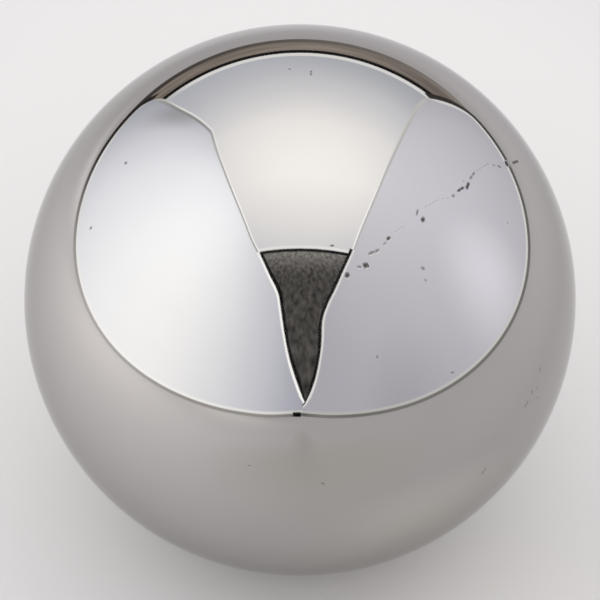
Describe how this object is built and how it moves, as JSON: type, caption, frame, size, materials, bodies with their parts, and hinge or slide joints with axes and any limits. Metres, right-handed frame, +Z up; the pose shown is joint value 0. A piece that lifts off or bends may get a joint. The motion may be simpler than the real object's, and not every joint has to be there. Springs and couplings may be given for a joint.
{
  "type": "steel ball",
  "caption": "Solid steel ball with a lapped mirror finish and a faint trail of surface pits, to roll, carry load, locate or weigh down.",
  "frame": {"origin": "centre of the ball", "axes": "+Z up; every axis through the centre is an axis of symmetry"},
  "size_m": [0.0254, 0.0254, 0.0254],
  "materials": {
    "lapped_steel": "polished"
  },
  "bodies": {
    "root": {"steel_ball": "lapped_steel"}
  },
  "joints": []
}
